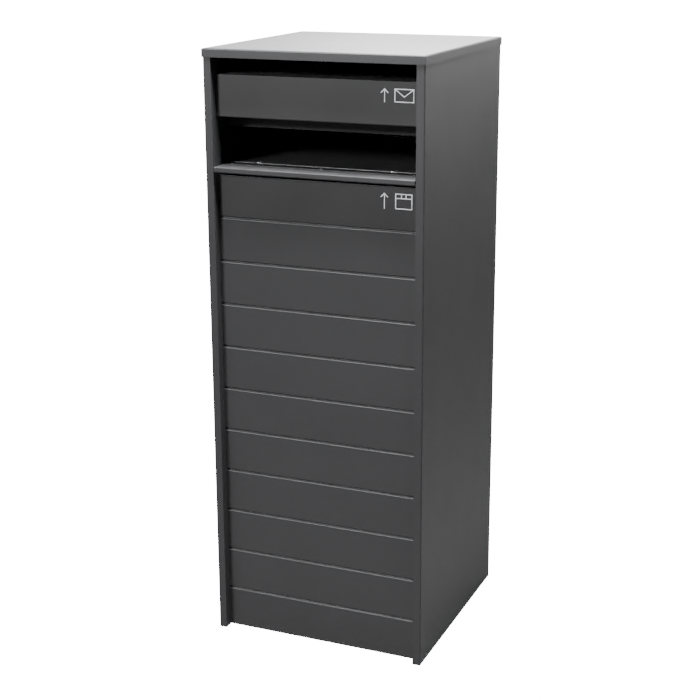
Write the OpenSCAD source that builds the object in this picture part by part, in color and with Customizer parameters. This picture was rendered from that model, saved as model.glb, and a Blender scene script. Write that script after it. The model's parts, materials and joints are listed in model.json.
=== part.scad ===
// Free-standing letter and parcel box in folded, powder-coated sheet steel.
// Letters go in over the top front panel, and parcels through the wide mouth under it, onto a
// sprung drop flap. Two locking doors at the back empty the two compartments.
// Frame: origin at the middle of the footprint on the floor, +Z up, front face towards -Y.

/* [Overall] */
// Width of the top cover, side to side
cover_w = 400; // [360:1:460]
// Depth of the top cover, front to back
cover_d = 403; // [380:1:460]
// Height of the whole box
total_h = 1064; // [1040:1:1120]
// How far the cover stands out past the body on each side
cover_overhang = 1.25; // [0.8:0.05:2]
// Height of the cover's turned-down edge
cover_edge = 15; // [12:0.5:20]

/* [Sheet metal] */
// Thickness of the folded sheet
sheet = 1.2; // [1:0.1:1.5]
// Radius of a fold, measured at the middle of the sheet
fold_r = 1.8; // [1.2:0.1:2.2]
// Thickness of the base plate
base_t = 2; // [1.5:0.1:3]

/* [Front] */
// Width of the narrow front face of each side
jamb_w = 14.7; // [12:0.1:18]
// How far the front panels sit back from the front faces of the sides
recess = 17.4; // [14:0.1:22]
// Height of the top edge of the parcels front panel
parcels_front_h = 849.6; // [840:0.2:852]
// Number of grooves pressed across the parcels front panel
grooves = 10; // [6:1:12]
// Height of the lowest groove
first_groove = 75.5; // [60:0.5:90]
// Distance from one groove to the next
groove_pitch = 77.7; // [50:0.1:77.7]
// Depth of a groove
groove_depth = 2.6; // [1.5:0.1:3]
// Half the height of a groove
groove_half = 2.8; // [2.5:0.1:4]
// Height of the bottom edge of the letters front panel
letters_low = 948; // [944:0.5:952]
// Height of the top edge of the letters front panel
letters_high = 1020; // [1015:0.5:1024]
// Depth of the ledge that letters slide over
ledge_d = 100; // [60:1:130]
// Depth of the folded edge under the letters front panel
letters_return = 60; // [40:1:80]

/* [Parcel mouth] */
// Height of the top of the sill
sill_h = 864.4; // [862:0.2:868]
// Height of the sill's front lip
lip_h = 9.7; // [8:0.1:11]
// Depth of the sill, front to back
sill_d = 52; // [50:0.5:54]
// Width of the sill
sill_w = 364.6; // [340:0.2:366]
// Width of the drop flap
flap_w = 390; // [370:1:392]
// Depth of the drop flap
flap_d = 304; // [260:1:306]

/* [Doors] */
// How far the doors sit back from the rear edges of the sides
door_inset = 8; // [7:0.5:10]
// Depth of the folded edge of a door
door_t = 14; // [12:0.5:15]
// Gap round each door
door_gap = 2; // [1.6:0.1:3]
// Height of the rail under the parcels door
low_rail_h = 22; // [18:1:30]
// Height of the rail between the two doors
mid_rail_h = 15; // [14:0.5:18]
// Height of the letters floor
letters_floor_h = 945; // [942:0.5:946]
// Distance from the lock to the edge of the door
lock_inset = 32; // [28:1:40]

/* [Anchoring] */
// Distance between the anchor holes, side to side
anchor_x = 300; // [240:5:320]
// Distance between the anchor holes, front to back
anchor_y = 280; // [220:5:300]
// Diameter of an anchor hole
anchor_hole = 12; // [10:0.5:14]

/* [Hidden] */

$fn = 48;
fold_steps = 5;
fine_r = 1.2;
touch = 0.3;

body_w = cover_w - 2 * cover_overhang;
body_d = cover_d - 2 * cover_overhang;
front_y = -body_d / 2;
rear_y = body_d / 2;
skin_x = body_w / 2;
jamb_x = skin_x - jamb_w;
inner_x = skin_x - sheet;
side_top = total_h - sheet - fold_r + 0.5;
tab_low = side_top - 0.3;
edge_low = total_h - cover_edge;

front_wall_d = 30;
stop_d = 24;
stop_w = 12;
panel_y = front_y + recess;
panel_w = 2 * (jamb_x - touch);
panel_flange = 12;
tab_w = 16;
tab_margin = 45;

hinge_y = front_y + sill_d + 5.75;
hinge_z = sill_h + 0.5;
leaf_t = 1;
flap_knuckle_r = 2.5;
flap_pin_r = 1.2;
pin_clearance = 0.06;
flap_hinge_w = 388;
flap_knuckles = 11;
knuckle_gap = 0.4;
leaf_d = 22;
spring_x = 125;
spring_w = 11;
spring_wire = 1.2;
spring_turns = 6;
spring_coil_r = 2.4;
flap_top = hinge_z + leaf_t / 2 + sheet;
flap_front = hinge_y + 3.3;
flap_rear = flap_front + flap_d;
flap_edge_h = 12;
hinge_rivet_x = 167;

door_y = rear_y - door_inset;
door_w = 2 * (jamb_x - door_gap);
stop_y = rear_y - stop_d;
letters_door_low = letters_floor_h + sheet + door_gap;
letters_door_high = edge_low - 8 - door_gap;
mid_rail_top = letters_floor_h + sheet;
mid_rail_low = mid_rail_top - mid_rail_h;
top_rail_low = edge_low - 8;
parcels_door_low = low_rail_h + door_gap;
parcels_door_high = mid_rail_low - door_gap;

knuckle_r = 3;
door_pin_r = 1.5;
knuckle_set = 0.15;
axis_x = jamb_x - knuckle_r - knuckle_set;
axis_y = door_y + knuckle_r + knuckle_set;
door_leaf_w = 26;
hinge_h = 54;
small_hinge_h = 42;
letters_hinge_z = [(letters_door_low + letters_door_high) / 2];
parcels_hinge_z = [parcels_door_low + 80, (parcels_door_low + parcels_door_high) / 2,
    parcels_door_high - 80];
lock_x = -(door_w / 2 - lock_inset);
letters_lock_z = (letters_door_low + letters_door_high) / 2 + 6;
parcels_lock_z = 560;
lock_r = 9.5;
plug_r = 6;
cam_reach = 31;
cam_y = stop_y - sheet / 2 - 3.2;
cam_t = 2;

rivet_head_r = 4;
rivet_head_h = 1.4;
rivet_r = 2;

finish = "#3f4144";
zinc = "#b9bcc0";

// ---- folded sheet ----

function unit(v) = v / norm(v);
function left_of(d) = [-d[1], d[0]];
function turned(v, a) = [v[0] * cos(a) - v[1] * sin(a), v[0] * sin(a) + v[1] * cos(a)];

// Points round one fold, each with the direction square to the sheet there.
function fold(a, p, b, r) =
    let (u = unit(p - a), v = unit(b - p), turn = atan2(cross(u, v), u * v), side = sign(turn),
        cut = r * tan(abs(turn) / 2), centre = p - cut * u + side * r * left_of(u))
    [for (i = [0:fold_steps])
        let (n = turned(left_of(u), turn * i / fold_steps)) [centre - side * r * n, n]];

// Outline of a sheet whose middle follows path, with a rounded fold at each inner point.
function sheet_outline(path, t, r) =
    let (last = len(path) - 1,
        marks = concat([[path[0], left_of(unit(path[1] - path[0]))]],
            [for (i = [1:1:last - 1]) each fold(path[i - 1], path[i], path[i + 1], r)],
            [[path[last], left_of(unit(path[last] - path[last - 1]))]]))
    concat([for (m = marks) m[0] + t / 2 * m[1]],
        [for (i = [len(marks) - 1:-1:0]) marks[i][0] - t / 2 * marks[i][1]]);

module folded(path, r = fold_r, t = sheet) polygon(sheet_outline(path, t, r));

// Extrudes a drawing of Y and Z along X, centred.
module along_x(length) translate([-length / 2, 0, 0]) rotate([90, 0, 90])
    linear_extrude(length) children();

// Solid block with its top edges rounded, standing on z = 0: the outside of a folded tray.
module rounded_block(w, d, h, r) {
    intersection() {
        along_x(w) rounded_top(d, h, r);
        rotate([90, 0, 0]) translate([0, 0, -d / 2]) linear_extrude(d) rounded_top(w, h, r);
    }
}

module rounded_top(w, h, r) polygon(concat([[-w / 2, 0], [w / 2, 0]],
    [for (i = [0:fold_steps]) let (a = 90 * i / fold_steps) [w / 2 - r + r * cos(a), h - r + r * sin(a)]],
    [for (i = [0:fold_steps]) let (a = 90 + 90 * i / fold_steps)
        [-w / 2 + r + r * cos(a), h - r + r * sin(a)]]));

// Tray folded from one sheet, open below, with its outside on top at z = h.
module tray(w, d, h) {
    difference() {
        rounded_block(w, d, h, fold_r + sheet / 2);
        translate([0, 0, -1]) rounded_block(w - 2 * sheet, d - 2 * sheet, h - sheet + 1,
            fold_r - sheet / 2);
    }
}

// ---- fasteners ----

// Blind rivet along +X from a head at x = 0: the head stands towards -X.
module rivet(grip = 3) {
    rotate([0, 90, 0]) {
        translate([0, 0, -rivet_head_h]) cylinder(h = rivet_head_h, r1 = rivet_head_r * 0.55,
            r2 = rivet_head_r);
        cylinder(h = grip, r = rivet_r);
        translate([0, 0, grip]) cylinder(h = 2.2, r = rivet_r * 1.35);
    }
}

module mirrored_x() {
    children();
    mirror([1, 0, 0]) children();
}

// ---- cabinet ----

// Right side: skin with its front and rear faces, and a tab under the cover.
module side_panel() {
    mid = sheet / 2;
    difference() {
        linear_extrude(side_top) folded([[jamb_x, front_y + mid], [skin_x - mid, front_y + mid],
            [skin_x - mid, rear_y - mid], [jamb_x, rear_y - mid]]);
        for (y = floor_rivet_y()) rivet_holes_x(inner_x, y, letters_floor_h - 8);
        for (y = base_rivet_y()) rivet_holes_x(inner_x, y, base_t + 14);
    }
    difference() {
        translate([inner_x - tab_w, front_y + tab_margin, tab_low])
            cube([tab_w + sheet / 2, body_d - 2 * tab_margin, sheet]);
        for (y = stud_y()) translate([stud_x(), y, tab_low - 4]) cylinder(h = 10, r = 3.2);
    }
}

// Wall behind the right front face, with a flange welded to the back of that face.
module front_jamb() {
    mid = sheet / 2;
    weld_y = front_y + sheet + mid + 0.02;
    difference() {
        linear_extrude(side_top) folded([[skin_x - sheet - 2.5, weld_y], [jamb_x + mid, weld_y],
            [jamb_x + mid, front_y + front_wall_d]], r = fine_r);
        for (z = front_rivet_z()) rivet_holes_x(jamb_x, panel_y + sheet + 6, z);
        for (z = letters_rivet_z()) rivet_holes_x(jamb_x, panel_y + sheet + 6, z);
    }
}

// Wall and door stop behind the right rear face.
module rear_jamb() {
    mid = sheet / 2;
    weld_y = rear_y - sheet - mid - 0.02;
    difference() {
        linear_extrude(side_top) folded([[skin_x - sheet - 2.5, weld_y], [jamb_x + mid, weld_y],
            [jamb_x + mid, stop_y], [jamb_x - stop_w, stop_y]], r = fine_r);
        for (z = rail_rivet_z()) rivet_holes_x(jamb_x, rear_y - 13, z);
    }
}

module rivet_holes_x(x, y, z) translate([x - 2, y, z]) rotate([0, 90, 0])
    cylinder(h = 4, r = rivet_r + 0.05);

function stud_x() = inner_x - tab_w / 2 - 1;
function stud_y() = [front_y + 80, rear_y - 80];
function front_rivet_z() = [for (i = [0:5]) 40 + i * 152];
function letters_rivet_z() = [letters_low + 16, letters_high - 18];
function rail_rivet_z() = [low_rail_h / 2, (mid_rail_low + mid_rail_top) / 2];
function floor_rivet_y() = [front_y + 110, 10, rear_y - 70];
function base_rivet_y() = [front_y + 60, 0, rear_y - 60];

module side_panel_left() color(finish) mirror([1, 0, 0]) side_panel();

module side_panel_right() color(finish) side_panel();

module front_jamb_left() color(finish) mirror([1, 0, 0]) front_jamb();

module front_jamb_right() color(finish) front_jamb();

module rear_jamb_left() color(finish) mirror([1, 0, 0]) rear_jamb();

module rear_jamb_right() color(finish) rear_jamb();

module top_cover() color(finish) {
    seam = 0.5;
    difference() {
        translate([0, 0, edge_low]) tray(cover_w, cover_d, cover_edge);
        for (sx = [-1, 1], sy = [-1, 1])
            translate([sx * (cover_w / 2 - sheet / 2), sy * (cover_d / 2 - sheet - seam / 2),
                edge_low + cover_edge / 2 - fold_r - 1])
                cube([sheet * 1.5, seam, cover_edge], center = true);
    }
}

module cover_studs() color(zinc) mirrored_x() for (y = stud_y())
    translate([stud_x(), y, total_h - sheet - 14]) cylinder(h = 14, r = 2.5);

module cover_nuts() color(zinc) mirrored_x() for (y = stud_y())
    translate([stud_x(), y, tab_low - 5]) difference() {
        union() {
            cylinder(h = 5, r = 4.6, $fn = 6);
            translate([0, 0, 4]) cylinder(h = 1, r = 5.8);
        }
        translate([0, 0, -1]) cylinder(h = 7, r = 2.55);
    }

module base_plate() color(finish) {
    wide_y = front_y + front_wall_d + 1;
    wide_d = stop_y - sheet - wide_y - 1;
    half_w = inner_x - touch;
    front_edge = panel_y + sheet + touch + panel_flange;
    difference() {
        union() {
            translate([-half_w, wide_y, 0]) cube([2 * half_w, wide_d, base_t]);
            translate([-jamb_x + 2, front_edge, 0]) cube([2 * jamb_x - 4, 40, base_t]);
        }
        for (sx = [-1, 1], sy = [-1, 1]) translate([sx * anchor_x / 2, sy * anchor_y / 2, -1])
            cylinder(h = base_t + 2, r = anchor_hole / 2);
    }
}

// Angle along the foot of each side, on top of the base plate.
module base_angles() color(finish) mirrored_x() {
    wide_y = front_y + front_wall_d + 4;
    wide_d = stop_y - sheet - wide_y - 4;
    x = inner_x - touch - sheet / 2;
    z = base_t + touch / 3 + sheet / 2;
    difference() {
        translate([0, wide_y + wide_d, 0]) rotate([90, 0, 0]) linear_extrude(wide_d)
            folded([[x - 18, z], [x, z], [x, base_t + 24]], r = fine_r);
        for (y = base_rivet_y()) rivet_holes_x(x, y, base_t + 14);
    }
}

// Two upright flanges at the ends of a front panel, which the rivets go through.
module end_flanges(low, high, zs) mirrored_x() difference() {
    translate([panel_w / 2 - sheet, panel_y + sheet / 2, low]) cube([sheet, panel_flange, high - low]);
    for (z = zs) rivet_holes_x(panel_w / 2 - sheet, panel_y + sheet + 6, z);
}

module parcels_front_panel() color(finish) {
    y = panel_y + sheet / 2;
    low = sheet / 2;
    high = parcels_front_h - sheet / 2;
    groove_path = [for (i = [0:grooves - 1]) let (z = first_groove + i * groove_pitch)
        each [[y, z - groove_half], [y + groove_depth, z], [y, z + groove_half]]];
    along_x(panel_w) folded(concat([[y + panel_flange, low], [y, low]], groove_path,
        [[y, high], [y + panel_flange, high]]), r = fine_r);
    end_flanges(sheet, parcels_front_h - sheet, front_rivet_z());
}

module letters_front_panel() color(finish) {
    y = panel_y + sheet / 2;
    low = letters_low + sheet / 2;
    high = letters_high - sheet / 2;
    along_x(panel_w) folded([[y + letters_return, low], [y, low], [y, high]], r = fine_r);
    along_x(panel_w) folded([[y, high - 5], [y, high], [y + panel_flange, high]], r = fine_r);
    along_x(panel_w) folded([[y + panel_flange - 2, high], [y + ledge_d, high],
        [y + ledge_d, high - panel_flange]], r = fine_r);
    end_flanges(letters_low + sheet, letters_high - sheet, letters_rivet_z());
}

module letters_floor() color(finish) {
    top = letters_floor_h - sheet / 2;
    half_w = inner_x - touch;
    start = panel_y + letters_return + 4;
    finish_y = stop_y - sheet - 1;
    along_x(2 * half_w) folded([[start, letters_floor_h - 21], [start, top], [finish_y, top],
        [finish_y, letters_floor_h - 14]]);
    mirrored_x() difference() {
        translate([half_w - sheet, start + 3, letters_floor_h - 16])
            cube([sheet, finish_y - start - 6, 15]);
        for (y = floor_rivet_y()) rivet_holes_x(half_w - 1, y, letters_floor_h - 8);
    }
}

module parcel_sill() color(finish) {
    y = front_y + sheet / 2;
    top = sill_h - sheet / 2;
    difference() {
        along_x(sill_w) folded([[y + 8, sill_h - lip_h + sheet / 2], [y, sill_h - lip_h + sheet / 2],
            [y, top], [y + sill_d, top]], r = fine_r);
        for (x = [-hinge_rivet_x, 0, hinge_rivet_x])
            translate([x, hinge_y - 17, sill_h - 5]) cylinder(h = 10, r = rivet_r + 0.05);
    }
}

// Angle under each end of the sill, fixed to the wall behind the front face.
module sill_brackets() color(finish) mirrored_x() {
    y = panel_y + 1;
    difference() {
        translate([0, y + 11, 0]) rotate([90, 0, 0]) linear_extrude(11)
            folded([[jamb_x - 16, sill_h - sheet * 1.5 - 0.1], [jamb_x - sheet / 2 - 0.1, sill_h - sheet * 1.5 - 0.1],
                [jamb_x - sheet / 2 - 0.1, sill_h - sheet - 11]], r = fine_r);
    }
}

module rear_top_rail() color(finish) {
    y = rear_y - sheet / 2;
    z = top_rail_low + sheet / 2;
    rail([[stop_y, z - stop_w], [stop_y, z], [y, z], [y, side_top - 3]]);
}

module rear_middle_rail() color(finish) {
    y = rear_y - sheet / 2;
    low = mid_rail_low + sheet / 2;
    high = mid_rail_top - sheet / 2;
    difference() {
        rail([[stop_y, low - stop_w], [stop_y, low], [y, low], [y, high], [stop_y, high],
            [stop_y, high + stop_w / 2]]);
    }
}

module rear_bottom_rail() color(finish) {
    y = rear_y - sheet / 2;
    z = low_rail_h - sheet / 2;
    rail([[y - 12, sheet / 2], [y, sheet / 2], [y, z], [stop_y, z], [stop_y, z + stop_w]]);
}

module rail(path) {
    half_w = jamb_x - touch;
    end_w = stop_w + 0.6;
    difference() {
        along_x(2 * half_w) folded(path);
        mirrored_x() translate([half_w - end_w, stop_y - 2, 0]) cube([end_w + 1, 4, total_h]);
    }
}

module front_panel_rivets() color(finish) mirrored_x() for (z = front_rivet_z())
    translate([panel_w / 2 - sheet, panel_y + sheet + 6, z]) rivet();

module letters_panel_rivets() color(finish) mirrored_x() for (z = letters_rivet_z())
    translate([panel_w / 2 - sheet, panel_y + sheet + 6, z]) rivet();

module letters_floor_rivets() color(finish) mirrored_x() for (y = floor_rivet_y())
    translate([skin_x - 0.05, y, letters_floor_h - 8]) mirror([1, 0, 0]) flush_rivet();

module base_rivets() color(finish) mirrored_x() for (y = base_rivet_y())
    translate([skin_x - 0.05, y, base_t + 14]) mirror([1, 0, 0]) flush_rivet();

// Flush rivet along +X whose outer end is level with the skin and painted over.
module flush_rivet() rotate([0, 90, 0]) {
    cylinder(h = 4.2, r = rivet_r);
    translate([0, 0, 3.6]) cylinder(h = 1.4, r = rivet_r * 1.5);
}

module rail_rivets() color(finish) mirrored_x() for (z = rail_rivet_z())
    translate([jamb_x - 2.2, rear_y - 13, z]) rotate([0, 90, 0]) cylinder(h = 5, r = rivet_r);

// ---- drop flap ----

function flap_knuckle_w() = flap_hinge_w / flap_knuckles;

// Knuckles number first, first + 2 and so on along the flap hinge, less room for the springs.
module flap_knuckles_from(first) difference() {
    for (i = [first:2:flap_knuckles - 1])
        translate([-flap_hinge_w / 2 + i * flap_knuckle_w() + knuckle_gap / 2, hinge_y, hinge_z])
            rotate([0, 90, 0]) cylinder(h = flap_knuckle_w() - knuckle_gap, r = flap_knuckle_r);
    flap_pin_hole();
    spring_room(flap_knuckle_r + 1);
}

module flap_pin_hole() translate([-flap_hinge_w / 2 - 1, hinge_y, hinge_z]) rotate([0, 90, 0])
    cylinder(h = flap_hinge_w + 2, r = flap_pin_r + pin_clearance);

module spring_room(d) for (sx = [-1, 1]) translate([sx * spring_x - spring_w / 2, hinge_y - d, hinge_z - d])
    cube([spring_w, 2 * d, 2 * d]);

// The leaf's tongues reach the knuckles numbered first, first + 2 and so on.
module leaf_with_tongues(first, side) difference() {
    union() {
        translate([-flap_hinge_w / 2, side > 0 ? hinge_y + 3.2 : hinge_y - leaf_d, hinge_z - leaf_t / 2])
            cube([flap_hinge_w, leaf_d - 3.2, leaf_t]);
        for (i = [first:2:flap_knuckles - 1])
            translate([-flap_hinge_w / 2 + i * flap_knuckle_w() + knuckle_gap / 2,
                side > 0 ? hinge_y : hinge_y - 3.5, hinge_z - leaf_t / 2])
                cube([flap_knuckle_w() - knuckle_gap, 3.5, leaf_t]);
    }
    flap_pin_hole();
    spring_room(flap_knuckle_r + 1);
}

module flap_hinge_fixed_leaf() color(finish) {
    difference() {
        union() {
            flap_knuckles_from(0);
            leaf_with_tongues(0, -1);
        }
        for (x = [-hinge_rivet_x, 0, hinge_rivet_x])
            translate([x, hinge_y - 17, hinge_z - 5]) cylinder(h = 10, r = rivet_r + 0.05);
    }
}

module flap_hinge_moving_leaf() color(finish) {
    flap_knuckles_from(1);
    leaf_with_tongues(1, 1);
}

module flap_hinge_pin() color(zinc) translate([-flap_hinge_w / 2 - 1, hinge_y, hinge_z])
    rotate([0, 90, 0]) cylinder(h = flap_hinge_w + 2, r = flap_pin_r);

module flap_hinge_rivets() color(zinc) for (x = [-hinge_rivet_x, 0, hinge_rivet_x])
    translate([x, hinge_y - 17, hinge_z + leaf_t / 2]) rotate([0, 90, 0]) rivet(grip = 2.6);

// The coil's rings, each one turn of the wire. The outermost is bent into the arm under the flap.
module spring_ring() rotate([0, 90, 0]) rotate_extrude($fn = 24) translate([spring_coil_r, 0])
    circle(r = spring_wire / 2, $fn = 12);

// Straight end of the wire, leaving the bottom of the coil towards the front or the back.
module spring_arm(length, lift) translate([0, 0, -spring_coil_r]) rotate([lift, 0, 0])
    cylinder(h = length, r = spring_wire / 2, $fn = 12);

module flap_springs() color(zinc) for (sx = [-1, 1]) translate([sx * spring_x, hinge_y, hinge_z]) {
    for (i = [0:spring_turns - 1]) translate([spring_ring_x(i), 0, 0]) spring_ring();
    translate([spring_ring_x(0), 0, 0]) spring_arm(16, 93);
}

module flap_spring_arms() color(zinc) for (sx = [-1, 1])
    translate([sx * spring_x + spring_ring_x(spring_turns) + 0.1, hinge_y, hinge_z]) {
        spring_ring();
        spring_arm(24, -90);
    }

function spring_ring_x(i) = (i - spring_turns / 2) * spring_wire * 0.97;

module drop_flap() color(finish) {
    half_w = flap_w / 2;
    top = flap_top - sheet / 2;
    along_x(flap_w) folded([[flap_front, top], [flap_rear - sheet / 2, top],
        [flap_rear - sheet / 2, flap_top - flap_edge_h]]);
    mirrored_x() translate([half_w - sheet, flap_front + 25, flap_top - flap_edge_h])
        cube([sheet, flap_d - 25 - fold_r - sheet, flap_edge_h - sheet / 2]);
}

function flap_stop_y() = flap_rear - 40;

module flap_stop_brackets() color(finish) mirrored_x() {
    z = flap_top + 2.2 + sheet / 2;
    translate([0, flap_stop_y() + 12, 0]) rotate([90, 0, 0]) linear_extrude(24)
        folded([[inner_x - 18, z], [inner_x - sheet / 2 - 0.1, z], [inner_x - sheet / 2 - 0.1, z + 16]],
            r = fine_r);
}

module flap_stop_bumpers() color("#1c1c1c") mirrored_x()
    translate([inner_x - 13.5, flap_stop_y(), flap_top + 0.1]) cylinder(h = 2.1, r = 4);

// ---- printed symbols ----

symbol_t = 0.2;
symbol_line = 1.6;

module frame_outline(w, h, line) difference() {
    square([w, h], center = true);
    square([w - 2 * line, h - 2 * line], center = true);
}

// Straight stroke with round ends.
module stroke(a, b, line) {
    length = norm(b - a);
    translate(a) rotate(atan2(b[1] - a[1], b[0] - a[0])) {
        translate([0, -line / 2]) square([length, line]);
        circle(r = line / 2, $fn = 24);
        translate([length, 0]) circle(r = line / 2, $fn = 24);
    }
}

module on_front(x, z) translate([x, panel_y, z]) rotate([90, 0, 0]) linear_extrude(symbol_t) children();

symbol_x = 157;
arrow_x = -34;
letters_symbol_z = letters_high - 23;
parcels_symbol_z = parcels_front_h - 25;

// Arrow up to the opening over the panel.
module arrow_up(h) translate([arrow_x, 0]) {
    stroke([0, -h / 2], [0, h / 2 - 1], symbol_line);
    for (s = [-1, 1]) stroke([s * 6, h / 2 - 7], [0, h / 2 - 1], symbol_line);
}

// Envelope.
module letters_symbol() color("#d5d6d8") on_front(symbol_x, letters_symbol_z) {
    w = 34;
    h = 22;
    frame_outline(w, h, symbol_line);
    for (s = [-1, 1]) stroke([s * (w / 2 - 1.2), h / 2 - 1.2], [0, -2], symbol_line);
    arrow_up(h);
}

// Closed carton with a strip of tape.
module parcels_symbol() color("#d5d6d8") on_front(symbol_x, parcels_symbol_z) {
    w = 30;
    h = 26;
    frame_outline(w, h, symbol_line);
    stroke([-w / 2 + 1, h / 2 - 8], [w / 2 - 1, h / 2 - 8], symbol_line);
    for (s = [-1, 1]) stroke([s * 4, h / 2 - 1], [s * 4, h / 2 - 8], symbol_line);
    arrow_up(h);
}

// ---- doors ----

// Folded door tray with its outside face at door_y, with a round hole for the lock.
module door_panel(low, high, lock_z) color(finish) {
    difference() {
        translate([0, door_y - door_t, (low + high) / 2]) rotate([-90, 0, 0])
            tray(door_w, high - low, door_t);
        translate([lock_x, door_y + 1, lock_z]) rotate([90, 0, 0]) cylinder(h = 4, r = lock_r + 0.1);
    }
}

// Foam strip on the door stop all the way round.
module door_seal(low, high) color("#1c1c1c") {
    t = stop_d - door_inset - door_t - sheet / 2 - 0.1;
    w = door_w - 3;
    h = high - low - 3;
    strip = 7;
    translate([0, stop_y + sheet / 2 + t + 0.05, (low + high) / 2]) rotate([90, 0, 0])
        linear_extrude(t) frame_outline(w, h, strip);
}

module hinge_pin(z, h) translate([axis_x, axis_y, z - h / 2 - 1]) {
    cylinder(h = h + 1, r = door_pin_r);
    translate([0, 0, h + 1.1]) cylinder(h = 1.6, r = knuckle_r - 0.2);
    translate([0, 0, h + 0.5]) cylinder(h = 1, r = door_pin_r);
}

// Middle third of the knuckle and the leaf on the face of the door.
module hinge_door_leaf(z, h) color(zinc) difference() {
    third = h / 3;
    union() {
        translate([axis_x, axis_y, z - third / 2 + 0.2]) cylinder(h = third - 0.4, r = knuckle_r);
        translate([axis_x - door_leaf_w, door_y + 0.05, z - third / 2 + 0.2])
            cube([door_leaf_w, sheet, third - 0.4]);
        translate([axis_x - door_leaf_w, door_y + 0.05, z - h / 2])
            cube([door_leaf_w - knuckle_r - 1, sheet, h]);
    }
    translate([axis_x, axis_y, z - h]) cylinder(h = 2 * h, r = door_pin_r + pin_clearance);
    for (s = [-1, 1]) hinge_rivet_at(z, h, s) cylinder(h = 8, r = rivet_r + 0.05, center = true);
}

module hinge_rivet_at(z, h, s) translate([axis_x - door_leaf_w + 9, door_y, z + s * h * 0.3])
    rotate([90, 0, 0]) children();

// Outer thirds of the knuckle and the leaf in the gap beside the door.
module hinge_fixed_leaf(z, h) color(zinc) difference() {
    third = h / 3;
    leaf = 1;
    leaf_y = stop_y + sheet + fold_r;
    union() for (s = [-1, 1]) {
        translate([axis_x, axis_y, z + s * third - third / 2]) cylinder(h = third, r = knuckle_r);
        translate([jamb_x - leaf - 0.02, leaf_y, z + s * third - third / 2])
            cube([leaf, axis_y - leaf_y, third]);
        translate([jamb_x - leaf - 0.02, leaf_y, z - third / 2 - 0.5])
            cube([leaf, door_y - leaf_y - 4, third + 1]);
    }
    translate([axis_x, axis_y, z - h]) cylinder(h = 2 * h, r = door_pin_r + 0.02);
}

module hinge_rivets(z, h) for (s = [-1, 1]) hinge_rivet_at(z, h, s) {
    translate([0, 0, -sheet - 0.05 - rivet_head_h]) cylinder(h = rivet_head_h, r1 = rivet_head_r * 0.55,
        r2 = rivet_head_r);
    translate([0, 0, -sheet - 0.1]) cylinder(h = sheet + 0.1, r = rivet_r);
}

module hinge_set(zs, h, kind) for (z = zs) {
    if (kind == "pin") color(zinc) hinge_pin(z, h);
    if (kind == "door") hinge_door_leaf(z, h);
    if (kind == "fixed") hinge_fixed_leaf(z, h);
    if (kind == "rivets") color(zinc) hinge_rivets(z, h);
}

// ---- locks: axis along Y, cam hanging straight down when unlocked ----

module on_lock(lock_z) translate([lock_x, 0, lock_z]) rotate([-90, 0, 0]) children();

module lock_body(lock_z) color(zinc) on_lock(lock_z) difference() {
    union() {
        translate([0, 0, door_y + 0.05]) cylinder(h = 2.2, r1 = 11.5, r2 = 10.7);
        translate([0, 0, cam_y + cam_t + 1]) cylinder(h = door_y - cam_y - cam_t - 0.5, r = lock_r);
    }
    translate([0, 0, cam_y]) cylinder(h = 40, r = plug_r + 0.08);
}

module lock_nut(lock_z) color(zinc) on_lock(lock_z) translate([0, 0, door_y - sheet - 4.05])
    difference() {
        cylinder(h = 4, r = 13.8, $fn = 6);
        translate([0, 0, -1]) cylinder(h = 6, r = lock_r + 0.05);
    }

// The plug that the key turns, with its keyway and the square that carries the cam.
module lock_plug(lock_z) color(zinc) on_lock(lock_z) difference() {
    union() {
        translate([0, 0, cam_y + cam_t + 0.4]) cylinder(h = door_y - cam_y - cam_t + 1.6, r = plug_r);
        translate([-3.4, -3.4, cam_y - 0.2]) cube([6.8, 6.8, cam_t + 1]);
    }
    translate([-0.7, -3.6, door_y - 8]) cube([1.4, 7.2, 14]);
    translate([0, 0, cam_y - 4]) cylinder(h = 8, r = 2);
}

module lock_cam(lock_z) color(zinc) on_lock(lock_z) translate([0, 0, cam_y]) difference() {
    union() {
        cylinder(h = cam_t, r = 8.5);
        translate([-8, 0, 0]) cube([16, cam_reach - 4, cam_t]);
        translate([-4, cam_reach - 8, 0]) cube([8, 8, cam_t]);
        for (s = [-1, 1]) translate([s * 4, cam_reach - 4, 0]) cylinder(h = cam_t, r = 4);
    }
    translate([-3.45, -3.45, -1]) cube([6.9, 6.9, cam_t + 2]);
}

module lock_screw(lock_z) color(zinc) on_lock(lock_z) {
    translate([0, 0, cam_y - 2.4]) difference() {
        cylinder(h = 2.1, r1 = 4.6, r2 = 5.4);
        translate([0, 0, -0.1]) cylinder(h = 1.2, r = 1.8, $fn = 6);
    }
    translate([0, 0, cam_y - 0.4]) cylinder(h = 3.8, r = 1.95);
}

module parcels_door_stiffener() color(finish) {
    y = door_y - sheet - 0.1;
    h = parcels_door_high - parcels_door_low - 120;
    x = 20;
    translate([x, 0, parcels_door_low + 60]) linear_extrude(h) folded([[-34, y - sheet / 2],
        [-22, y - sheet / 2], [-22, y - 10], [22, y - 10], [22, y - sheet / 2], [34, y - sheet / 2]]);
}

// ---- nodes ----

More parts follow.
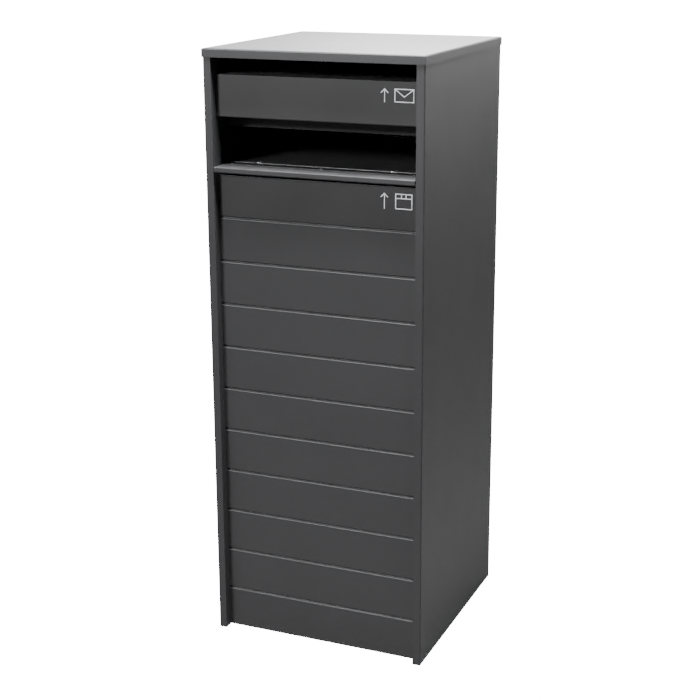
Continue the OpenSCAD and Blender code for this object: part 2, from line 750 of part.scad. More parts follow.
side_panel_left();
side_panel_right();
front_jamb_left();
front_jamb_right();
rear_jamb_left();
rear_jamb_right();
top_cover();
cover_studs();
cover_nuts();
base_plate();
base_angles();
parcels_front_panel();
letters_front_panel();
letters_floor();
parcel_sill();
sill_brackets();
rear_top_rail();
rear_middle_rail();
rear_bottom_rail();
flap_hinge_fixed_leaf();
flap_hinge_pin();
flap_hinge_rivets();
flap_springs();
flap_stop_brackets();
flap_stop_bumpers();
front_panel_rivets();
letters_panel_rivets();
letters_floor_rivets();
rail_rivets();
base_rivets();
letters_symbol();
parcels_symbol();
door_seal(letters_door_low, letters_door_high);  // letters_door_seal
door_seal(parcels_door_low, parcels_door_high);  // parcels_door_seal
hinge_set(letters_hinge_z, small_hinge_h, "fixed");  // letters_hinge_fixed_leaves
hinge_set(letters_hinge_z, small_hinge_h, "pin");  // letters_hinge_pins
hinge_set(parcels_hinge_z, hinge_h, "fixed");  // parcels_hinge_fixed_leaves
hinge_set(parcels_hinge_z, hinge_h, "pin");  // parcels_hinge_pins
drop_flap();
flap_hinge_moving_leaf();
flap_spring_arms();
door_panel(letters_door_low, letters_door_high, letters_lock_z);  // letters_door
hinge_set(letters_hinge_z, small_hinge_h, "door");  // letters_hinge_door_leaves
hinge_set(letters_hinge_z, small_hinge_h, "rivets");  // letters_hinge_rivets
lock_body(letters_lock_z);  // letters_lock_body
lock_nut(letters_lock_z);  // letters_lock_nut
lock_plug(letters_lock_z);  // letters_lock_plug
lock_cam(letters_lock_z);  // letters_lock_cam
lock_screw(letters_lock_z);  // letters_lock_screw
door_panel(parcels_door_low, parcels_door_high, parcels_lock_z);  // parcels_door
parcels_door_stiffener();
hinge_set(parcels_hinge_z, hinge_h, "door");  // parcels_hinge_door_leaves
hinge_set(parcels_hinge_z, hinge_h, "rivets");  // parcels_hinge_rivets
lock_body(parcels_lock_z);  // parcels_lock_body
lock_nut(parcels_lock_z);  // parcels_lock_nut
lock_plug(parcels_lock_z);  // parcels_lock_plug
lock_cam(parcels_lock_z);  // parcels_lock_cam
lock_screw(parcels_lock_z);  // parcels_lock_screw
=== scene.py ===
"""Looks of the letter and parcel box, laid out as an add-on.

A panel in the sidebar of the 3D view has one button for each group of pieces. Run as a script, it
builds the whole scene."""

import json
import math

import bmesh
import bpy
from bpy.props import FloatProperty, FloatVectorProperty, IntProperty, PointerProperty
from mathutils import Matrix, Vector


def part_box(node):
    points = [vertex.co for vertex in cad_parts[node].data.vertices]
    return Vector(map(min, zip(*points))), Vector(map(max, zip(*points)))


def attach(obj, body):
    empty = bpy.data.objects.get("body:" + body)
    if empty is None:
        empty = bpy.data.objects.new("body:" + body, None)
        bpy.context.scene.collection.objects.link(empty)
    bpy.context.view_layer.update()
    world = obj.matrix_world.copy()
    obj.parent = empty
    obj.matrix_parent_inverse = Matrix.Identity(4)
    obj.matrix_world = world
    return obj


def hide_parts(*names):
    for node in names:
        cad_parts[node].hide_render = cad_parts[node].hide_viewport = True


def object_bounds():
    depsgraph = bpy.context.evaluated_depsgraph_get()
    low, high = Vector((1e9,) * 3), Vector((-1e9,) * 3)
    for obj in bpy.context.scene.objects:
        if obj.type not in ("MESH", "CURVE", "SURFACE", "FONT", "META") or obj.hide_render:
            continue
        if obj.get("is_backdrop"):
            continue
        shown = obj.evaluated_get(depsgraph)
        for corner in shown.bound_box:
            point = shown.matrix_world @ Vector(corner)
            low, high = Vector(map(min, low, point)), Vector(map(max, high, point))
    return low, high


bl_info = {
    "name": "Letter and parcel box",
    "version": (1, 0, 0),
    "blender": (4, 5, 0),
    "location": "3D View > Sidebar > Parcel box",
    "description": "Finishes, fasteners, springs, locks and studio for a letter and parcel box",
    "category": "Object",
}

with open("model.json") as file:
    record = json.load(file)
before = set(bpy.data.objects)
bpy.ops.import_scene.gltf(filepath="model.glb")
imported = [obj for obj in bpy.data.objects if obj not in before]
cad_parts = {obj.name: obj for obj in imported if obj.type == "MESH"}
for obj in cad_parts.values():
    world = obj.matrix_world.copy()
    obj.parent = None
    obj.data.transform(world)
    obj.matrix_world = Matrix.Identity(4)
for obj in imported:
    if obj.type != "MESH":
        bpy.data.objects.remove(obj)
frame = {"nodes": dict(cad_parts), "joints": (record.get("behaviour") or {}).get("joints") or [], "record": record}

ALONG_Y = Matrix.Rotation(-math.pi / 2, 3, "X")
SHARP_ANGLE = math.radians(40)

# Blind rivets, in metres
RIVET_DOME = 0.0014
RIVET_TAIL = 0.0022
DOME_SLOPE = math.radians(72)
DIMPLE_DEPTH = 0.0006

# Cam lock bodies, in metres
THREAD_RADIUS = 0.0095
THREAD_DEPTH = 0.0005
THREAD_PITCH = 0.00125
THREAD_START = 0.0002
THREAD_RUNOUT = 0.002
BEZEL_ROUND = 0.0012
PLUG_SINK = 0.0006
PLUG_GAP = 0.0001

# Studio: half the floor's width, and each light's name, place, aim and width, in metres
FLOOR_HALF = 40
LIGHTS = (
    ("overhead", (0.24, -0.2, 1.75), (0.24, -0.2, 0), 0.3),
    ("steep", (0.1, -0.62, 3.8), (0.1, -0.62, 0), 0.5),
    ("rear", (-0.8, 2.7, 2.6), (0, 0, 0.7), 1.0),
    ("front", (-1.2, -3.4, 2.3), (0, 0, 0.85), 0.8),
)
# The studio walls in reflections: how high they fade out, and from where to where they come in
WALL_FADE = (0.05, 0.4)
WALL_SIDE = (-0.2, 0.5)


# ---- shader building ----


class Value:
    """One number in a shader. Arithmetic on it adds Math nodes."""

    def __init__(self, shader, socket):
        self.shader = shader
        self.socket = socket

    def _maths(self, operation, first, second):
        made = self.shader.node("ShaderNodeMath", {"operation": operation}, {0: first, 1: second})
        return Value(self.shader, made.outputs[0])

    def __add__(self, other):
        return self._maths("ADD", self, other)

    def __radd__(self, other):
        return self._maths("ADD", other, self)

    def __sub__(self, other):
        return self._maths("SUBTRACT", self, other)

    def __rsub__(self, other):
        return self._maths("SUBTRACT", other, self)

    def __mul__(self, other):
        return self._maths("MULTIPLY", self, other)

    def __rmul__(self, other):
        return self._maths("MULTIPLY", other, self)

    def between(self, low, high, first=0.0, second=1.0):
        """This number taken from low..high to first..second, held at the ends."""
        made = self.shader.node(
            "ShaderNodeMapRange",
            {"interpolation_type": "SMOOTHSTEP"},
            {"Value": self, "From Min": low, "From Max": high, "To Min": first, "To Max": second},
        )
        return Value(self.shader, made.outputs["Result"])


class Shader:
    """A material or a world made of nodes."""

    def __init__(self, tree):
        self.tree = tree
        tree.nodes.clear()

    def node(self, kind, settings=None, sockets=None):
        """Adds one node with its settings, and gives each socket a constant or an output."""
        made = self.tree.nodes.new(kind)
        for key, value in (settings or {}).items():
            setattr(made, key, value)
        for key, value in (sockets or {}).items():
            self.put(made.inputs[key], value)
        return made

    def put(self, socket, value):
        """Links a value to a socket, or sets the socket to a constant."""
        if isinstance(value, Value):
            value = value.socket
        if isinstance(value, bpy.types.NodeSocket):
            self.tree.links.new(value, socket)
        else:
            socket.default_value = value

    def place(self):
        """Position in the row frame, in metres."""
        return self.node("ShaderNodeTexCoord").outputs["Object"]

    def facing_up(self):
        """1 where the surface faces up, 0 where it is upright."""
        way = self.node("ShaderNodeNewGeometry").outputs["Normal"]
        parts = self.node("ShaderNodeSeparateXYZ", None, {"Vector": way})
        return Value(self, parts.outputs["Z"])

    def stretched(self, along):
        """Position in the row frame, multiplied axis by axis."""
        made = self.node(
            "ShaderNodeVectorMath", {"operation": "MULTIPLY"}, {0: self.place(), 1: along}
        )
        return made.outputs["Vector"]

    def noise(self, size, detail=2.0, place=None, roughness=0.5):
        """Noise from 0 to 1 whose blobs are about size metres across."""
        sockets = {"Vector": place or self.place(), "Scale": 1 / size, "Detail": detail}
        sockets["Roughness"] = roughness
        made = self.node("ShaderNodeTexNoise", None, sockets)
        return Value(self, made.outputs["Fac"])

    def cells(self, size, place=None):
        """Distance to the nearest of points about size metres apart, as a share of size."""
        sockets = {"Vector": place or self.place(), "Scale": 1 / size}
        made = self.node("ShaderNodeTexVoronoi", None, sockets)
        return Value(self, made.outputs["Distance"])

    def mix(self, share, first, second):
        """Colour between two colours."""
        made = self.node("ShaderNodeMix", {"data_type": "RGBA"})
        self.put(made.inputs[0], share)
        self.put(made.inputs[6], first)
        self.put(made.inputs[7], second)
        return made.outputs[2]

    def bump(self, height, depth, under=None):
        """Normal of a surface whose height runs over depth metres."""
        sockets = {"Height": height, "Distance": depth, "Strength": 1.0}
        if under is not None:
            sockets["Normal"] = under
        return self.node("ShaderNodeBump", None, sockets).outputs["Normal"]

    def surface(self, sockets):
        """Ends the shader in a Principled BSDF."""
        made = self.node("ShaderNodeBsdfPrincipled", None, sockets)
        end = self.node("ShaderNodeOutputMaterial")
        self.tree.links.new(made.outputs["BSDF"], end.inputs["Surface"])


def material(name):
    """A new empty node material and its shader."""
    made = bpy.data.materials.new(name)
    made.use_nodes = True
    return made, Shader(made.node_tree)


def opaque(colour):
    """A colour with its alpha of 1."""
    return (colour[0], colour[1], colour[2], 1.0)


def shaded(colour, by):
    """A colour made darker or lighter."""
    return opaque([c * by for c in colour])


def powder_coat(name, look, base, gloss):
    """Satin powder coat on folded sheet: fine orange peel over a faint waviness of the sheet."""
    made, s = material(name)
    mottle = s.noise(0.16, 3.0)
    speckle = s.noise(look.grit * 1.6, 1.0)
    dust = s.facing_up().between(0.5, 1.0) * s.noise(0.03, 5.0).between(0.35, 0.8)
    tone = s.mix(mottle * 0.6 + speckle * 0.4, shaded(base, 0.86), shaded(base, 1.16))
    wave = s.bump(s.noise(0.21, 1.0), 0.0016)
    peel = s.bump(s.noise(look.peel, 2.0), look.peel_depth, wave)
    grit = s.bump(s.noise(look.grit, 1.0), look.peel_depth * 0.16, peel)
    s.surface(
        {
            "Base Color": s.mix(dust * 0.04, tone, (0.30, 0.29, 0.27, 1.0)),
            "Roughness": gloss + (mottle - 0.5) * 0.08 + (speckle - 0.5) * 0.06 + dust * 0.04,
            "IOR": 1.5,
            "Normal": grit,
        }
    )
    return made


def zinc(look):
    """Zinc plate: pale, faintly blotched, with fine rolling lines."""
    made, s = material("zinc_plate")
    blotch = s.noise(0.012, 4.0)
    lines = s.noise(0.0011, 2.0, s.stretched((0.06, 1.0, 1.0)))
    s.surface(
        {
            "Base Color": s.mix(blotch, shaded(look.zinc, 0.82), shaded(look.zinc, 1.06)),
            "Metallic": 1.0,
            "Roughness": 0.30 + (blotch - 0.5) * 0.14 + (lines - 0.5) * 0.10,
            "Normal": s.bump(lines, 0.00003),
        }
    )
    return made


def chrome(look):
    """Plated lock parts with hairline scratches."""
    made, s = material("chrome")
    smear = s.noise(0.006, 3.0)
    hair = s.noise(0.0006, 1.0, s.stretched((1.0, 1.0, 0.08)))
    s.surface(
        {
            "Base Color": s.mix(smear, shaded(look.chrome, 0.9), opaque(look.chrome)),
            "Metallic": 1.0,
            "Roughness": 0.13 + smear * 0.08 + hair.between(0.55, 0.75) * 0.10,
            "Normal": s.bump(hair, 0.000006),
        }
    )
    return made


def spring_wire():
    """Drawn steel wire, with dark oil in places."""
    made, s = material("spring_wire")
    oil = s.noise(0.004, 3.0).between(0.4, 0.7)
    drawn = s.noise(0.0004, 1.0, s.stretched((0.2, 1.0, 1.0)))
    s.surface(
        {
            "Base Color": s.mix(oil, (0.44, 0.44, 0.45, 1.0), (0.22, 0.21, 0.20, 1.0)),
            "Metallic": 1.0,
            "Roughness": 0.34 + (drawn - 0.5) * 0.16,
            "Normal": s.bump(drawn, 0.00001),
        }
    )
    return made


def rubber(name, pore, depth, base):
    """Black rubber or closed-cell foam with pores of the given size, their pits darkened in colour as painted
    shade.
    """
    made, s = material(name)
    pores = s.cells(pore).between(0.0, 0.55)
    bloom = s.noise(0.02, 4.0)
    s.surface(
        {
            # Painted shade: the colour darkens in the pore pits, over a random bloom in the rubber's own tone
            "Base Color": s.mix(bloom * 0.7 + pores * 0.3, shaded(base, 0.7), shaded(base, 1.5)),
            "Roughness": 0.78 + (bloom - 0.5) * 0.16,
            "Normal": s.bump(pores, depth),
        }
    )
    return made


def vinyl():
    """White printed film, very slightly uneven."""
    made, s = material("white_film")
    fleck = s.noise(0.0009, 3.0)
    s.surface(
        {
            "Base Color": s.mix(fleck, (0.70, 0.71, 0.73, 1.0), (0.84, 0.85, 0.86, 1.0)),
            "Roughness": 0.42 + (fleck - 0.5) * 0.2,
            "Normal": s.bump(fleck, 0.00001),
        }
    )
    return made


def pale_floor(stage):
    """Matt pale studio floor with a faint grain."""
    made, s = material("studio_floor")
    grain = s.noise(0.012, 4.0)
    cloud = s.noise(1.3, 2.0)
    tone = (stage.floor_tone, stage.floor_tone, stage.floor_tone * 1.005)
    matt = s.node(
        "ShaderNodeBsdfPrincipled",
        None,
        {
            "Base Color": s.mix(grain * 0.5 + cloud * 0.5, shaded(tone, 0.985), shaded(tone, 1.01)),
            "Roughness": 0.82 + (grain - 0.5) * 0.1,
            "Normal": s.bump(grain, 0.0002),
        },
    )
    glow = s.node("ShaderNodeEmission", None, {"Color": (1, 1, 1, 1), "Strength": stage.backdrop})
    direct = Value(s, s.node("ShaderNodeLightPath").outputs["Is Camera Ray"])
    both = s.node(
        "ShaderNodeMixShader",
        None,
        {0: direct * stage.floor_glow, 1: matt.outputs["BSDF"], 2: glow.outputs["Emission"]},
    )
    end = s.node("ShaderNodeOutputMaterial")
    s.tree.links.new(both.outputs["Shader"], end.inputs["Surface"])
    return made


# ---- mesh building ----


def add_piece(name, mesh, body, finish, stands_for=()):
    """Makes an object from a bmesh, riding on a body, with its finish, in place of CAD nodes."""
    data = bpy.data.meshes.new(name)
    bmesh.ops.remove_doubles(mesh, verts=mesh.verts, dist=1e-7)
    bmesh.ops.recalc_face_normals(mesh, faces=mesh.faces)
    mesh.to_mesh(data)
    mesh.free()
    data.materials.append(finish)
    for face in data.polygons:
        face.use_smooth = True
    data.set_sharp_from_angle(angle=SHARP_ANGLE)
    made = bpy.data.objects.new(name, data)
    bpy.context.scene.collection.objects.link(made)
    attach(made, body)
    if stands_for:
        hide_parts(*stands_for)
    return made


def turned(mesh, at, turn, profile, sides=40):
    """Adds a shape turned about the axis at a point from a list of (radius, height)."""
    rings = []
    for radius, height in profile:
        if radius == 0:
            rings.append([mesh.verts.new(at + turn @ Vector((0, 0, height)))])
            continue
        ring = []
        for i in range(sides):
            a = 2 * math.pi * i / sides
            spot = Vector((radius * math.cos(a), radius * math.sin(a), height))
            ring.append(mesh.verts.new(at + turn @ spot))
        rings.append(ring)
    for lower, upper in zip(rings, rings[1:]):
        for i in range(sides):
            j = (i + 1) % sides
            if len(lower) == 1:
                mesh.faces.new((lower[0], upper[j], upper[i]))
            elif len(upper) == 1:
                mesh.faces.new((lower[i], lower[j], upper[0]))
            else:
                mesh.faces.new((lower[i], lower[j], upper[j], upper[i]))


def swept(mesh, spots, radius, sides=12):
    """Adds a round wire along a list of points, with closed ends."""
    rings = []
    side = None
    for k, spot in enumerate(spots):
        way = (spots[min(k + 1, len(spots) - 1)] - spots[max(k - 1, 0)]).normalized()
        if side is None:
            side = way.orthogonal().normalized()
        side = (side - way * side.dot(way)).normalized()
        up = way.cross(side)
        ring = []
        for i in range(sides):
            a = 2 * math.pi * i / sides
            ring.append(mesh.verts.new(spot + radius * (math.cos(a) * side + math.sin(a) * up)))
        rings.append(ring)
    for lower, upper in zip(rings, rings[1:]):
        for i in range(sides):
            j = (i + 1) % sides
            mesh.faces.new((lower[i], lower[j], upper[j], upper[i]))
    mesh.faces.new(list(reversed(rings[0])))
    mesh.faces.new(rings[-1])


def islands(node):
    """(lowest corner, highest corner) of each separate solid of a CAD node."""
    mesh = bmesh.new()
    mesh.from_mesh(frame["nodes"][node].data)
    bmesh.ops.remove_doubles(mesh, verts=mesh.verts, dist=1e-6)
    found, seen = [], set()
    for start in mesh.verts:
        if start in seen:
            continue
        seen.add(start)
        group, queue = [], [start]
        while queue:
            vert = queue.pop()
            group.append(vert.co.copy())
            for edge in vert.link_edges:
                other = edge.other_vert(vert)
                if other not in seen:
                    seen.add(other)
                    queue.append(other)
        low = Vector([min(c[i] for c in group) for i in range(3)])
        high = Vector([max(c[i] for c in group) for i in range(3)])
        found.append((low, high))
    mesh.free()
    return found


def finish_nodes(names, finish, edge=0.0003):
    """Gives CAD nodes a finish and softens their edges."""
    for name in names:
        made = frame["nodes"][name]
        made.data.materials.clear()
        made.data.materials.append(finish)
        if edge:
            bevel = made.modifiers.new("edge", "BEVEL")
            bevel.width = edge
            bevel.segments = 2
            bevel.limit_method = "ANGLE"
            bevel.angle_limit = SHARP_ANGLE
            bevel.harden_normals = False


def rivet_outline(head, length):
    """Outline of a set blind rivet from its tail to its dimpled dome: (radius, height)."""
    shank = head * 0.5
    swell = shank * 1.3
    under = length - RIVET_DOME
    rim = under + RIVET_DOME * 0.15
    points = [(0, 0), (shank * 0.8, 0.0), (swell, RIVET_TAIL * 0.3), (swell, RIVET_TAIL * 0.8)]
    points += [(shank, RIVET_TAIL), (shank, under), (head * 0.98, under), (head, rim)]
    for k in range(1, 7):
        a = DOME_SLOPE * k / 6
        rise = RIVET_DOME * 0.85 * math.sin(a) / 0.951
        points.append((head * math.cos(a), rim + rise))
    dimple = length - DIMPLE_DEPTH
    return points + [(head * 0.24, length - DIMPLE_DEPTH / 2), (head * 0.2, dimple), (0, dimple)]


def body_of(node):
    """The body a CAD node belongs to."""
    return next(b for b, nodes in frame["record"]["behaviour"]["bodies"].items() if node in nodes)


def joint(name):
    """One joint of the record."""
    return next(j for j in frame["joints"] if j["name"] == name)


# ---- settings ----


class BoxFinish(bpy.types.PropertyGroup):
    """Colours and texture sizes."""

    coat: FloatVectorProperty(
        name="Coat", description="Colour of the powder coat", size=3, subtype="COLOR",
        default=(0.0270, 0.0270, 0.0285),
    )
    coat_gloss: FloatProperty(
        name="Coat roughness", description="Roughness of the powder coat", default=0.40,
        subtype="FACTOR",
    )
    peel: FloatProperty(
        name="Orange peel", description="Size of the powder coat's ripples", default=0.0017,
        unit="LENGTH",
    )
    peel_depth: FloatProperty(
        name="Peel depth", description="Height of the powder coat's ripples", default=0.000025,
        unit="LENGTH",
    )
    grit: FloatProperty(
        name="Grit", description="Size of the finest texture of the coat", default=0.0004,
        unit="LENGTH",
    )
    zinc: FloatVectorProperty(
        name="Zinc", description="Colour of the plated parts", size=3, subtype="COLOR",
        default=(0.62, 0.63, 0.65),
    )
    chrome: FloatVectorProperty(
        name="Chrome", description="Colour of the lock", size=3, subtype="COLOR",
        default=(0.78, 0.79, 0.80),
    )


class BoxDetail(bpy.types.PropertyGroup):
    """Shapes of the small parts."""

    rivet_sides: IntProperty(
        name="Rivet sides", description="Sides of a rivet head", default=28, subtype="UNSIGNED"
    )
    coil_turns: FloatProperty(
        name="Coil turns", description="Turns of each flap spring", default=6.5,
        subtype="UNSIGNED",
    )
    wire: FloatProperty(
        name="Spring wire", description="Thickness of the spring wire", default=0.0012,
        unit="LENGTH",
    )


class BoxStage(bpy.types.PropertyGroup):
    """Floor, light and camera."""

    floor_tone: FloatProperty(
        name="Floor", description="How pale the floor is", default=0.09, subtype="FACTOR"
    )
    floor_glow: FloatProperty(
        name="Floor glow", description="How much the floor melts into the backdrop", default=0.6,
        subtype="FACTOR",
    )
    backdrop: FloatProperty(
        name="Backdrop", description="Brightness of the backdrop as the camera sees it",
        default=30.0, subtype="UNSIGNED",
    )
    walls: FloatProperty(
        name="Walls", description="Brightness of the studio walls in reflections", default=5.3,
        subtype="UNSIGNED",
    )
    sky: FloatProperty(
        name="Surroundings", description="Strength of the light from all round", default=0.07,
        subtype="UNSIGNED",
    )
    overhead: FloatProperty(
        name="Overhead light", description="Power of the soft overhead light", default=84.0,
        subtype="POWER",
    )
    steep: FloatProperty(
        name="Steep light", description="Power of the light high above the front", default=340.0,
        subtype="POWER",
    )
    front: FloatProperty(
        name="Front light", description="Power of the soft light before the box, to its left",
        default=165.0, subtype="POWER",
    )
    rear: FloatProperty(
        name="Rear light", description="Power of the soft light behind the box, to its left",
        default=65.0, subtype="POWER",
    )
    lens: FloatProperty(
        name="Lens", description="Focal length on a 36 mm sensor", default=75.09,
        subtype="DISTANCE_CAMERA",
    )
    camera_place: FloatVectorProperty(
        name="Camera", description="Place of the camera", size=3, subtype="TRANSLATION",
        default=(0.9917, -2.3841, 1.273),
    )
    camera_turn: FloatVectorProperty(
        name="Camera turn", description="Azimuth, elevation and roll of the camera", size=3,
        subtype="EULER",
        default=(math.radians(22.929), math.radians(15.485), math.radians(-0.272)),
    )
    rise: FloatProperty(
        name="Rise", description="Upward shift of the picture", default=-0.04, subtype="FACTOR"
    )


# ---- pieces ----


class BOX_OT_sheet(bpy.types.Operator):
    """Powder coat on every folded sheet part"""

    bl_idname = "box.sheet"
    bl_label = "Sheet metal"

    def execute(self, context):
        look = context.scene.box_finish
        coat = powder_coat("powder_coat", look, look.coat, look.coat_gloss)
        sheets = [
            "side_panel_left", "side_panel_right", "front_jamb_left", "front_jamb_right",
            "rear_jamb_left", "rear_jamb_right", "top_cover", "base_plate", "base_angles",
            "parcels_front_panel", "letters_front_panel", "letters_floor", "parcel_sill",
            "sill_brackets", "rear_top_rail", "rear_middle_rail", "rear_bottom_rail",
            "flap_stop_brackets", "drop_flap", "letters_door", "parcels_door",
            "parcels_door_stiffener",
        ]
        finish_nodes(sheets, coat)
        finish_nodes(["letters_floor_rivets", "base_rivets"], coat, 0.0)
        return {"FINISHED"}


class BOX_OT_rivets(bpy.types.Operator):
    """Domed blind rivets, painted on the panels and plated on the hinges"""

    bl_idname = "box.rivets"
    bl_label = "Rivets"

    def execute(self, context):
        coat = bpy.data.materials["powder_coat"]
        plated = bpy.data.materials["zinc_plate"]
        for node in ("front_panel_rivets", "letters_panel_rivets"):
            self.group(context, node, lambda low, high: self.inward(low), coat)
        self.group(context, "flap_hinge_rivets", lambda low, high: Vector((0, 0, 1)), plated)
        for node in ("letters_hinge_rivets", "parcels_hinge_rivets"):
            self.group(context, node, lambda low, high: Vector((0, 1, 0)), plated)
        return {"FINISHED"}

    @staticmethod
    def inward(low):
        """The way from a side of the box to its middle."""
        return Vector((1 if low.x < 0 else -1, 0, 0))

    @staticmethod
    def group(context, node, way_of, finish):
        """One rivet in place of each solid of a node, with its head where way_of points."""
        sides = context.scene.box_detail.rivet_sides
        mesh = bmesh.new()
        for low, high in islands(node):
            way = way_of(low, high)
            size = high - low
            length = abs(size.dot(way))
            across = max(size[i] for i in range(3) if abs(way[i]) < 0.5)
            centre = (low + high) / 2
            turn = Vector((0, 0, 1)).rotation_difference(way).to_matrix()
            outline = rivet_outline(across / 2, length)
            turned(mesh, centre - way * length / 2, turn, outline, sides)
        add_piece(node + "_look", mesh, body_of(node), finish, (node,))


class BOX_OT_springs(bpy.types.Operator):
    """Torsion springs of the flap, wound from wire, with the last turn and arm on the flap"""

    bl_idname = "box.springs"
    bl_label = "Flap springs"

    def execute(self, context):
        detail = context.scene.box_detail
        wire = detail.wire
        pivot = Vector(joint("parcel_flap_drop")["pos_m"])
        finish = spring_wire()
        for node, way in (("flap_springs", -1), ("flap_spring_arms", 1)):
            mesh = bmesh.new()
            for low, high in islands(node):
                reach = (high.y if way > 0 else low.y) - pivot.y
                radius = high.z - pivot.z - wire / 2
                begin, end = low.x + wire / 2, high.x - wire / 2
                turns = detail.coil_turns if way < 0 else 1.0
                if way > 0:
                    begin = end = (begin + end) / 2
                spots = self.helix(pivot, radius, begin, end, turns)
                foot = Vector((spots[0].x, pivot.y + reach, pivot.z - radius))
                if way < 0:
                    foot.z -= abs(reach) * 0.05
                    spots.insert(0, foot)
                else:
                    foot.x = spots[-1].x
                    spots.append(foot)
                swept(mesh, spots, wire / 2)
            add_piece(node + "_look", mesh, body_of(node), finish, (node,))
        return {"FINISHED"}

    @staticmethod
    def helix(pivot, radius, begin, end, turns, steps=28):
        """Points of a coil about the pivot, starting and nearly ending at the bottom."""
        count = int(turns * steps)
        spots = []
        for k in range(count + 1):
            a = -math.pi / 2 + 2 * math.pi * k / steps
            x = begin + (end - begin) * k / count
            y = pivot.y + radius * math.cos(a)
            spots.append(Vector((x, y, pivot.z + radius * math.sin(a))))
        return spots


class BOX_OT_locks(bpy.types.Operator):
    """Lock bodies with a rounded bezel and a threaded barrel"""

    bl_idname = "box.locks"
    bl_label = "Lock bodies"

    def execute(self, context):
        bright = bpy.data.materials["chrome"]
        for door in ("letters", "parcels"):
            node = f"{door}_lock_body"
            low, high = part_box(node)
            plug_low, plug_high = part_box(f"{door}_lock_plug")
            plug = (plug_high.x - plug_low.x) / 2 + PLUG_GAP
            bezel = (high.x - low.x) / 2
            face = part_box(f"{door}_door")[1].y
            inner = high.y - face
            centre = (low + high) / 2
            at = Vector((centre.x, low.y, centre.z))
            length = high.y - low.y
            neck = length - inner
            root = THREAD_RADIUS - THREAD_DEPTH
            outline = [(plug, 0.0), (root, 0.0)]
            for k in range(int((neck - THREAD_RUNOUT) / THREAD_PITCH)):
                outline.append((root, THREAD_START + k * THREAD_PITCH))
                outline.append((THREAD_RADIUS, THREAD_START + (k + 0.5) * THREAD_PITCH))
            outline.append((THREAD_RADIUS - 0.0003, neck))
            outline.append((bezel, neck + 0.00005))
            for k in range(7):
                a = math.pi / 2 * k / 6
                in_by = BEZEL_ROUND * (1 - math.cos(a))
                outline.append((bezel - in_by, length - BEZEL_ROUND * (1 - math.sin(a))))
            outline.append((plug + BEZEL_ROUND, length))
            outline.append((plug, length - PLUG_SINK))
            outline.append((plug, 0.0))
            mesh = bmesh.new()
            turned(mesh, at, ALONG_Y, outline, 56)
            add_piece(node + "_look", mesh, body_of(node), bright, (node,))
        return {"FINISHED"}


class BOX_OT_hardware(bpy.types.Operator):
    """Finishes of hinges, nuts, cams, seals, bumpers and symbols"""

    bl_idname = "box.hardware"
    bl_label = "Hardware"

    def execute(self, context):
        look = context.scene.box_finish
        coat = bpy.data.materials["powder_coat"]
        plated = zinc(look)
        bright = chrome(look)
        names = set(frame["nodes"])
        kinds = ("hinge", "_cam", "_screw", "_nut", "_studs")
        painted = {"flap_hinge_fixed_leaf", "flap_hinge_moving_leaf"}
        metal = sorted(n for n in names - painted if any(k in n for k in kinds))
        finish_nodes([n for n in metal if "rivets" not in n], plated, 0.0002)
        finish_nodes(sorted(painted), coat, 0.0002)
        finish_nodes(["rail_rivets"], coat, 0.0)
        finish_nodes(["letters_lock_plug", "parcels_lock_plug"], bright, 0.0003)
        finish_nodes(["letters_door_seal", "parcels_door_seal"],
                     rubber("foam", 0.0008, 0.0002, (0.018, 0.018, 0.018)), 0.0004)
        finish_nodes(["flap_stop_bumpers"], rubber("rubber", 0.0016, 0.00004, (0.02, 0.02, 0.02)),
                     0.0004)
        finish_nodes(["letters_symbol", "parcels_symbol"], vinyl(), 0.0)
        return {"FINISHED"}


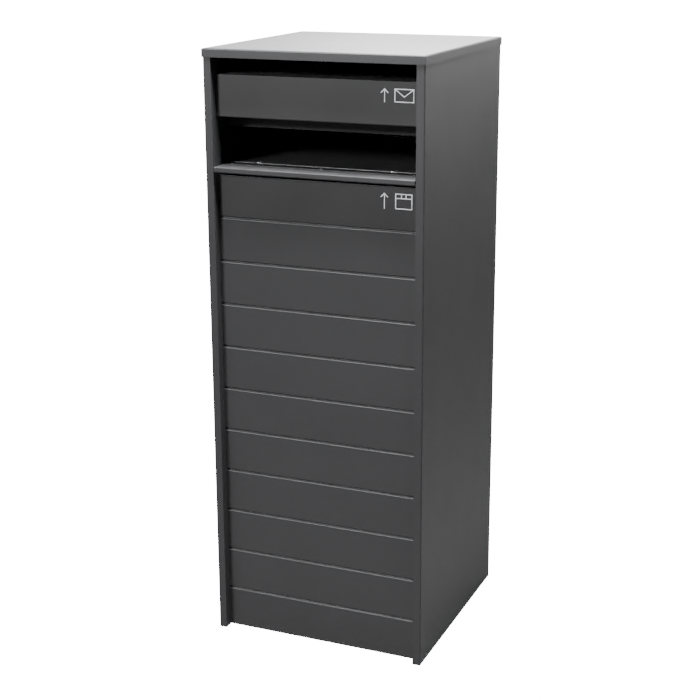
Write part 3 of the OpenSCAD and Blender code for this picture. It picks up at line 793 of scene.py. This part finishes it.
class BOX_OT_stage(bpy.types.Operator):
    """Pale floor, soft studio light and the camera"""

    bl_idname = "box.stage"
    bl_label = "Stage"

    def execute(self, context):
        stage = context.scene.box_stage
        mesh = bmesh.new()
        bmesh.ops.create_grid(mesh, x_segments=1, y_segments=1, size=FLOOR_HALF)
        data = bpy.data.meshes.new("floor")
        mesh.to_mesh(data)
        mesh.free()
        data.materials.append(pale_floor(stage))
        floor = bpy.data.objects.new("floor", data)
        floor.location.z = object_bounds()[0].z
        context.scene.collection.objects.link(floor)
        floor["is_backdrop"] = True
        for name, place, aim, width in LIGHTS:
            self.light(context, name, place, aim, width, getattr(stage, name))
        world = bpy.data.worlds.new("studio")
        world.use_nodes = True
        context.scene.world = world
        s = Shader(world.node_tree)
        white = (1, 1, 1, 1)
        up = s.node(
            "ShaderNodeSeparateXYZ",
            None,
            {"Vector": s.node("ShaderNodeTexCoord").outputs["Generated"]},
        )
        height, behind = Value(s, up.outputs["Z"]), Value(s, up.outputs["Y"])
        rays = s.node("ShaderNodeLightPath").outputs
        walls = height.between(*WALL_FADE, stage.walls, 0.0) * behind.between(*WALL_SIDE)
        lit = s.node("ShaderNodeBackground", None, {"Color": white, "Strength": stage.sky})
        glossy = {"Color": white, "Strength": walls + stage.sky}
        shine = s.node("ShaderNodeBackground", None, glossy)
        seen = s.node("ShaderNodeBackground", None, {"Color": white, "Strength": stage.backdrop})
        soft = s.node(
            "ShaderNodeMixShader",
            None,
            {0: rays["Is Glossy Ray"], 1: lit.outputs[0], 2: shine.outputs[0]},
        )
        every = s.node(
            "ShaderNodeMixShader",
            None,
            {0: rays["Is Camera Ray"], 1: soft.outputs[0], 2: seen.outputs[0]},
        )
        end = s.node("ShaderNodeOutputWorld")
        s.tree.links.new(every.outputs["Shader"], end.inputs["Surface"])
        data = bpy.data.cameras.new("camera")
        data.sensor_width = 36
        data.lens = stage.lens
        data.shift_y = stage.rise
        data.clip_start = 0.05
        data.clip_end = 200
        camera = bpy.data.objects.new("camera", data)
        azimuth, elevation, roll = stage.camera_turn
        turn = (
            Matrix.Rotation(azimuth, 4, "Z")
            @ Matrix.Rotation(math.pi / 2 - elevation, 4, "X")
            @ Matrix.Rotation(roll, 4, "Z")
        )
        camera.matrix_world = Matrix.Translation(Vector(stage.camera_place)) @ turn
        context.scene.collection.objects.link(camera)
        context.scene.camera = camera
        return {"FINISHED"}

    @staticmethod
    def light(context, name, place, aim, size, power):
        """A square soft light at a place, turned to a point."""
        data = bpy.data.lights.new(name, "AREA")
        data.size = size
        data.energy = power
        made = bpy.data.objects.new(name, data)
        made.location = place
        way = Vector(aim) - Vector(place)
        made.rotation_euler = way.to_track_quat("-Z", "Y").to_euler()
        made.visible_camera = False
        context.scene.collection.objects.link(made)
        made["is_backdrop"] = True


class BOX_PT_panel(bpy.types.Panel):
    """Settings and buttons"""

    bl_idname = "BOX_PT_panel"
    bl_label = "Letter and parcel box"
    bl_space_type = "VIEW_3D"
    bl_region_type = "UI"
    bl_category = "Parcel box"

    def draw(self, context):
        scene = context.scene
        for group in (scene.box_finish, scene.box_detail, scene.box_stage):
            column = self.layout.column()
            for key in group.__annotations__:
                column.prop(group, key)
        for operator in OPERATORS:
            self.layout.operator(operator.bl_idname)


GROUPS = {"box_finish": BoxFinish, "box_detail": BoxDetail, "box_stage": BoxStage}
OPERATORS = (
    BOX_OT_sheet, BOX_OT_hardware, BOX_OT_rivets, BOX_OT_springs, BOX_OT_locks, BOX_OT_stage,
)


def register():
    for cls in (*GROUPS.values(), *OPERATORS, BOX_PT_panel):
        bpy.utils.register_class(cls)
    for key, cls in GROUPS.items():
        setattr(bpy.types.Scene, key, PointerProperty(type=cls))


def unregister():
    for key in GROUPS:
        delattr(bpy.types.Scene, key)
    for cls in reversed((*GROUPS.values(), *OPERATORS, BOX_PT_panel)):
        bpy.utils.unregister_class(cls)


def main():
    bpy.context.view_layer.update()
    register()
    bpy.ops.box.sheet()
    bpy.ops.box.hardware()
    bpy.ops.box.rivets()
    bpy.ops.box.springs()
    bpy.ops.box.locks()
    bpy.ops.box.stage()


if __name__ == "__main__":
    main()
